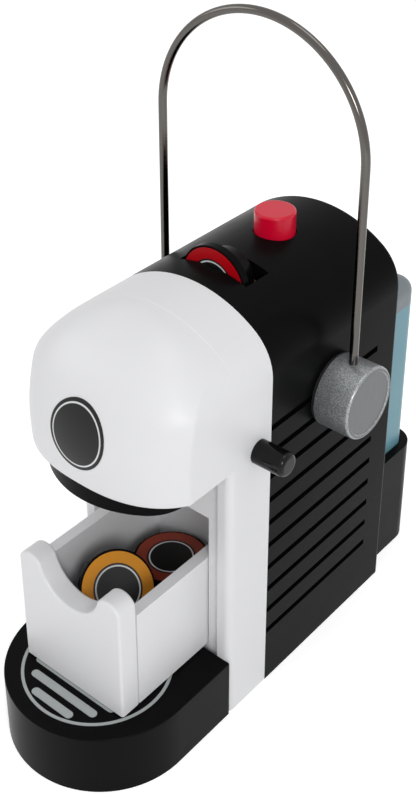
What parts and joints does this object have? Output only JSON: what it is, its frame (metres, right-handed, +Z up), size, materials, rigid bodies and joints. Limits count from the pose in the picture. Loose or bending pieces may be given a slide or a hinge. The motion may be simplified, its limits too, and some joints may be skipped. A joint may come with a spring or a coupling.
{
  "type": "toy coffee maker",
  "caption": "Wooden toy capsule coffee maker with a rounded head, pull-out drawer, turning bail handle, push button and lift-out water tank.",
  "frame": {"origin": "on the floor, under the middle of the whole toy", "axes": "+Z up, -Y towards the front, +X to the right as the front is seen"},
  "size_m": [0.1444, 0.2732, 0.3487],
  "materials": {
    "black_paint": "satin black paint",
    "white_paint": "satin white paint",
    "grey_paint": "satin grey paint",
    "red_paint": "gloss red paint",
    "blue_paint": "satin blue paint",
    "plain_wood": "bare wood",
    "grey_print": "printed grey",
    "black_print": "printed black",
    "red_print": "printed red",
    "brown_print": "printed brown",
    "yellow_print": "printed yellow",
    "green_print": "printed green",
    "blue_print": "printed blue",
    "black_plastic": "smooth",
    "bright_wire": "polished",
    "spring_wire": "drawn"
  },
  "bodies": {
    "housing": {"drip_tray": "black_paint", "drip_print": "grey_print", "drip_bars": "grey_print", "front_frame": "white_paint", "front_panel": "white_paint", "head_dome": "white_paint", "rim_plate": "black_paint", "spout": "black_paint", "badge": "black_print", "body_shell": "black_paint", "rear_board": "black_paint", "floor_board": "plain_wood", "runner_left": "plain_wood", "runner_right": "plain_wood", "capsule_chute": "plain_wood", "stop_peg_right": "black_paint", "stop_peg_left": "black_paint", "button_guide": "plain_wood", "button_spring": "spring_wire", "tank_holder": "black_paint"},
    "handle": {"axle": "plain_wood", "knob_right": "grey_paint", "knob_left": "grey_paint", "washer_right": "black_plastic", "washer_left": "black_plastic", "bail_handle": "bright_wire", "gate_finger": "plain_wood"},
    "push_button": {"button": "red_paint", "button_collar": "plain_wood"},
    "drawer": {"drawer_front": "white_paint", "drawer_side_left": "white_paint", "drawer_side_right": "white_paint", "drawer_back": "white_paint", "drawer_bottom": "white_paint", "capsule_green": "black_paint", "capsule_green_label": "green_print", "capsule_blue": "black_paint", "capsule_blue_label": "blue_print"},
    "tank": {"water_tank": "blue_paint", "tank_cap": "grey_paint"},
    "red_capsule": {"capsule_red": "black_paint", "capsule_red_label": "red_print"},
    "brown_capsule": {"capsule_brown": "black_paint", "capsule_brown_label": "brown_print"},
    "yellow_capsule": {"capsule_yellow": "black_paint", "capsule_yellow_label": "yellow_print"}
  },
  "joints": [
    {"name": "handle_turn", "type": "hinge", "parent": "housing", "child": "handle", "pos_m": [0, 0.03295, 0.162], "axis": [1, 0, 0], "range_deg": [0, 86]},
    {"name": "drawer_slide", "type": "slide", "parent": "housing", "child": "drawer", "axis": [0, -1, 0], "range_m": [-0.06, 0.03]},
    {"name": "button_press", "type": "slide", "parent": "housing", "child": "push_button", "axis": [0, 0, -1], "range_m": [0, 0.005], "stiffness_N_per_m": 300, "springref_m": -0.004, "deforming": ["button_spring"]},
    {"name": "tank_lift", "type": "slide", "parent": "housing", "child": "tank", "axis": [0, 0, 1], "range_m": [0, 0.075]},
    {"name": "red_capsule_lift", "type": "slide", "parent": "housing", "child": "red_capsule", "axis": [0, 0, 1], "range_m": [0, 0.045]},
    {"name": "brown_capsule_lift", "type": "slide", "parent": "drawer", "child": "brown_capsule", "axis": [0, 0, 1], "range_m": [0, 0.036]},
    {"name": "yellow_capsule_lift", "type": "slide", "parent": "drawer", "child": "yellow_capsule", "axis": [0, 0, 1], "range_m": [0, 0.04]}
  ]
}
